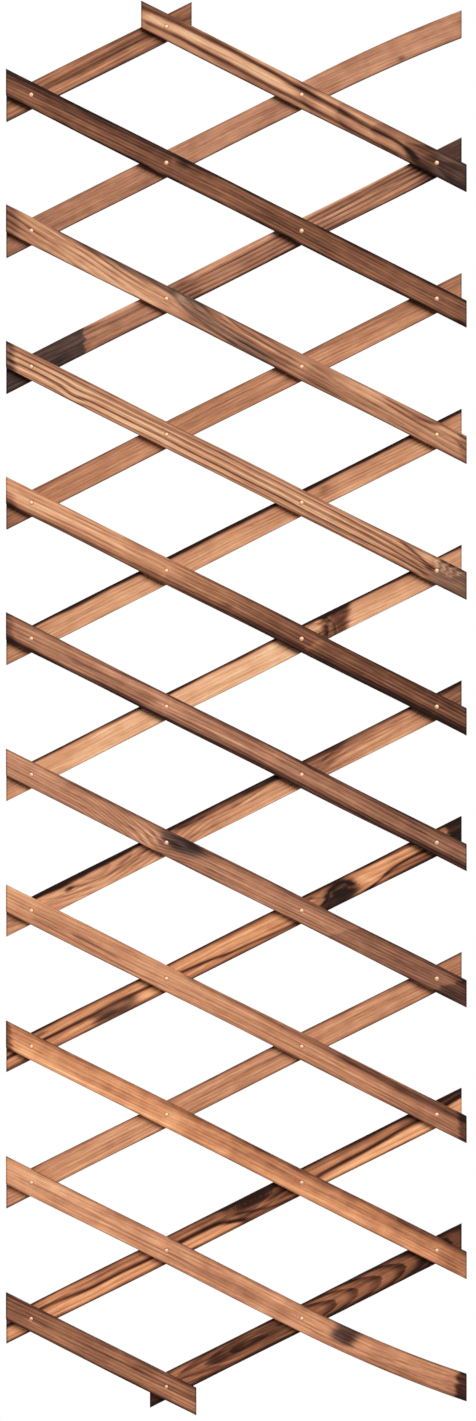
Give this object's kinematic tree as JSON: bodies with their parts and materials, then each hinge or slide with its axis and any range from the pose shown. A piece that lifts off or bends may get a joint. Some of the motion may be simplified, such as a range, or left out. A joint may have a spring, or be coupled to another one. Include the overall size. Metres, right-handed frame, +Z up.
{
  "type": "expandable garden trellis",
  "caption": "Upright scissor-folding lattice of flat burnt-wood slats riveted where they cross, hung on a wall or fence for climbing plants.",
  "frame": {"origin": "the point of the wall plane, which the rivet tails touch, behind the middle rivet of the second column", "axes": "+X to the viewer's right along the width, +Z up along the height, +Y from the viewer into the wall; the trellis is seen from -Y"},
  "size_m": [0.5846, 0.0184, 1.7953],
  "materials": {
    "honey_wood": "flame-burnt and brushed, unvarnished",
    "tan_wood": "flame-burnt and brushed, unvarnished",
    "terracotta_wood": "flame-burnt and brushed, unvarnished",
    "pink_tan_wood": "flame-burnt and brushed, unvarnished",
    "brown_wood": "flame-burnt and brushed, unvarnished",
    "umber_wood": "flame-burnt and brushed, unvarnished",
    "rivet_metal": "satin, dulled by weather"
  },
  "bodies": {
    "middle_rivet": {"rivet_2_06": "rivet_metal"},
    "front_slat_01": {"front_slat_01": "honey_wood", "rivet_2_01": "rivet_metal", "rivet_3_01": "rivet_metal", "rivet_4_01": "rivet_metal"},
    "front_slat_02": {"front_slat_02": "umber_wood", "rivet_1_01": "rivet_metal", "rivet_2_02": "rivet_metal", "rivet_3_02": "rivet_metal", "rivet_4_02": "rivet_metal"},
    "front_slat_03": {"front_slat_03": "tan_wood", "rivet_1_02": "rivet_metal", "rivet_2_03": "rivet_metal", "rivet_3_03": "rivet_metal", "rivet_4_03": "rivet_metal"},
    "front_slat_04": {"front_slat_04": "honey_wood", "rivet_1_03": "rivet_metal", "rivet_2_04": "rivet_metal", "rivet_3_04": "rivet_metal", "rivet_4_04": "rivet_metal"},
    "front_slat_05": {"front_slat_05": "tan_wood", "rivet_1_04": "rivet_metal", "rivet_2_05": "rivet_metal", "rivet_3_05": "rivet_metal", "rivet_4_05": "rivet_metal"},
    "front_slat_06": {"front_slat_06": "brown_wood", "rivet_1_05": "rivet_metal", "rivet_3_06": "rivet_metal", "rivet_4_06": "rivet_metal"},
    "front_slat_07": {"front_slat_07": "brown_wood", "rivet_1_06": "rivet_metal", "rivet_2_07": "rivet_metal", "rivet_3_07": "rivet_metal", "rivet_4_07": "rivet_metal"},
    "front_slat_08": {"front_slat_08": "tan_wood", "rivet_1_07": "rivet_metal", "rivet_2_08": "rivet_metal", "rivet_3_08": "rivet_metal", "rivet_4_08": "rivet_metal"},
    "front_slat_09": {"front_slat_09": "tan_wood", "rivet_1_08": "rivet_metal", "rivet_2_09": "rivet_metal", "rivet_3_09": "rivet_metal", "rivet_4_09": "rivet_metal"},
    "front_slat_10": {"front_slat_10": "tan_wood", "rivet_1_09": "rivet_metal", "rivet_2_10": "rivet_metal", "rivet_3_10": "rivet_metal"},
    "front_slat_11": {"front_slat_11": "umber_wood"},
    "rear_slat_01": {"rear_slat_01": "brown_wood"},
    "rear_slat_02": {"rear_slat_02": "pink_tan_wood"},
    "rear_slat_03": {"rear_slat_03": "brown_wood"},
    "rear_slat_04": {"rear_slat_04": "terracotta_wood"},
    "rear_slat_05": {"rear_slat_05": "tan_wood"},
    "rear_slat_06": {"rear_slat_06": "tan_wood"},
    "rear_slat_07": {"rear_slat_07": "brown_wood"},
    "rear_slat_08": {"rear_slat_08": "tan_wood"},
    "rear_slat_09": {"rear_slat_09": "tan_wood"},
    "rear_slat_10": {"rear_slat_10": "brown_wood"},
    "rear_slat_11": {"rear_slat_11": "umber_wood"}
  },
  "joints": [
    {"name": "fold", "type": "hinge", "parent": "middle_rivet", "child": "front_slat_06", "pos_m": [0, -0.0132, 0], "axis": [0, 1, 0], "range_deg": [-19.4, 58.5]},
    {"name": "rear_slat_06_pivot", "type": "hinge", "parent": "middle_rivet", "child": "rear_slat_06", "pos_m": [0, -0.0049, 0], "axis": [0, 1, 0], "range_deg": [-58.5, 19.4]},
    {"name": "front_slat_01_pivot", "type": "hinge", "parent": "rear_slat_03", "child": "front_slat_01", "pos_m": [0.34305, -0.0132, 0.69015], "axis": [0, 1, 0], "range_deg": [-38.8, 117]},
    {"name": "front_slat_02_pivot", "type": "hinge", "parent": "rear_slat_03", "child": "front_slat_02", "pos_m": [0.17153, -0.0132, 0.60389], "axis": [0, 1, 0], "range_deg": [-38.8, 117]},
    {"name": "front_slat_03_pivot", "type": "hinge", "parent": "rear_slat_03", "child": "front_slat_03", "pos_m": [0, -0.0132, 0.51762], "axis": [0, 1, 0], "range_deg": [-38.8, 117]},
    {"name": "front_slat_04_pivot", "type": "hinge", "parent": "rear_slat_06", "child": "front_slat_04", "pos_m": [0.34305, -0.0132, 0.17254], "axis": [0, 1, 0], "range_deg": [-38.8, 117]},
    {"name": "front_slat_05_pivot", "type": "hinge", "parent": "rear_slat_06", "child": "front_slat_05", "pos_m": [0.17153, -0.0132, 0.08627], "axis": [0, 1, 0], "range_deg": [-38.8, 117]},
    {"name": "front_slat_07_pivot", "type": "hinge", "parent": "rear_slat_06", "child": "front_slat_07", "pos_m": [-0.17153, -0.0132, -0.08627], "axis": [0, 1, 0], "range_deg": [-38.8, 117]},
    {"name": "front_slat_08_pivot", "type": "hinge", "parent": "rear_slat_08", "child": "front_slat_08", "pos_m": [0, -0.0132, -0.34508], "axis": [0, 1, 0], "range_deg": [-38.8, 117]},
    {"name": "front_slat_09_pivot", "type": "hinge", "parent": "rear_slat_08", "child": "front_slat_09", "pos_m": [-0.17153, -0.0132, -0.43135], "axis": [0, 1, 0], "range_deg": [-38.8, 117]},
    {"name": "front_slat_10_pivot", "type": "hinge", "parent": "rear_slat_11", "child": "front_slat_10", "pos_m": [0.17153, -0.0132, -0.77642], "axis": [0, 1, 0], "range_deg": [-38.8, 117]},
    {"name": "front_slat_11_pivot", "type": "hinge", "parent": "rear_slat_11", "child": "front_slat_11", "pos_m": [0, -0.0132, -0.86269], "axis": [0, 1, 0], "range_deg": [-38.8, 117]},
    {"name": "rear_slat_01_pivot", "type": "hinge", "parent": "front_slat_01", "child": "rear_slat_01", "pos_m": [0, -0.0049, 0.86269], "axis": [0, 1, 0], "range_deg": [-117, 38.8]},
    {"name": "rear_slat_02_pivot", "type": "hinge", "parent": "front_slat_01", "child": "rear_slat_02", "pos_m": [0.17153, -0.0049, 0.77642], "axis": [0, 1, 0], "range_deg": [-117, 38.8]},
    {"name": "rear_slat_03_pivot", "type": "hinge", "parent": "front_slat_04", "child": "rear_slat_03", "pos_m": [-0.17153, -0.0049, 0.43135], "axis": [0, 1, 0], "range_deg": [-117, 38.8]},
    {"name": "rear_slat_04_pivot", "type": "hinge", "parent": "front_slat_04", "child": "rear_slat_04", "pos_m": [0, -0.0049, 0.34508], "axis": [0, 1, 0], "range_deg": [-117, 38.8]},
    {"name": "rear_slat_05_pivot", "type": "hinge", "parent": "front_slat_06", "child": "rear_slat_05", "pos_m": [-0.17153, -0.0049, 0.08627], "axis": [0, 1, 0], "range_deg": [-117, 38.8]},
    {"name": "rear_slat_07_pivot", "type": "hinge", "parent": "front_slat_06", "child": "rear_slat_07", "pos_m": [0.17153, -0.0049, -0.08627], "axis": [0, 1, 0], "range_deg": [-117, 38.8]},
    {"name": "rear_slat_08_pivot", "type": "hinge", "parent": "front_slat_06", "child": "rear_slat_08", "pos_m": [0.34305, -0.0049, -0.17254], "axis": [0, 1, 0], "range_deg": [-117, 38.8]},
    {"name": "rear_slat_09_pivot", "type": "hinge", "parent": "front_slat_09", "child": "rear_slat_09", "pos_m": [0, -0.0049, -0.51762], "axis": [0, 1, 0], "range_deg": [-117, 38.8]},
    {"name": "rear_slat_10_pivot", "type": "hinge", "parent": "front_slat_09", "child": "rear_slat_10", "pos_m": [0.17153, -0.0049, -0.60389], "axis": [0, 1, 0], "range_deg": [-117, 38.8]},
    {"name": "rear_slat_11_pivot", "type": "hinge", "parent": "front_slat_09", "child": "rear_slat_11", "pos_m": [0.34305, -0.0049, -0.69015], "axis": [0, 1, 0], "range_deg": [-117, 38.8]}
  ],
  "couplings": [
    {"joint": "rear_slat_06_pivot", "follows": "fold", "ratio": -1},
    {"joint": "front_slat_01_pivot", "follows": "fold", "ratio": 2},
    {"joint": "front_slat_02_pivot", "follows": "fold", "ratio": 2},
    {"joint": "front_slat_03_pivot", "follows": "fold", "ratio": 2},
    {"joint": "front_slat_04_pivot", "follows": "fold", "ratio": 2},
    {"joint": "front_slat_05_pivot", "follows": "fold", "ratio": 2},
    {"joint": "front_slat_07_pivot", "follows": "fold", "ratio": 2},
    {"joint": "front_slat_08_pivot", "follows": "fold", "ratio": 2},
    {"joint": "front_slat_09_pivot", "follows": "fold", "ratio": 2},
    {"joint": "front_slat_10_pivot", "follows": "fold", "ratio": 2},
    {"joint": "front_slat_11_pivot", "follows": "fold", "ratio": 2},
    {"joint": "rear_slat_01_pivot", "follows": "fold", "ratio": -2},
    {"joint": "rear_slat_02_pivot", "follows": "fold", "ratio": -2},
    {"joint": "rear_slat_03_pivot", "follows": "fold", "ratio": -2},
    {"joint": "rear_slat_04_pivot", "follows": "fold", "ratio": -2},
    {"joint": "rear_slat_05_pivot", "follows": "fold", "ratio": -2},
    {"joint": "rear_slat_07_pivot", "follows": "fold", "ratio": -2},
    {"joint": "rear_slat_08_pivot", "follows": "fold", "ratio": -2},
    {"joint": "rear_slat_09_pivot", "follows": "fold", "ratio": -2},
    {"joint": "rear_slat_10_pivot", "follows": "fold", "ratio": -2},
    {"joint": "rear_slat_11_pivot", "follows": "fold", "ratio": -2}
  ]
}
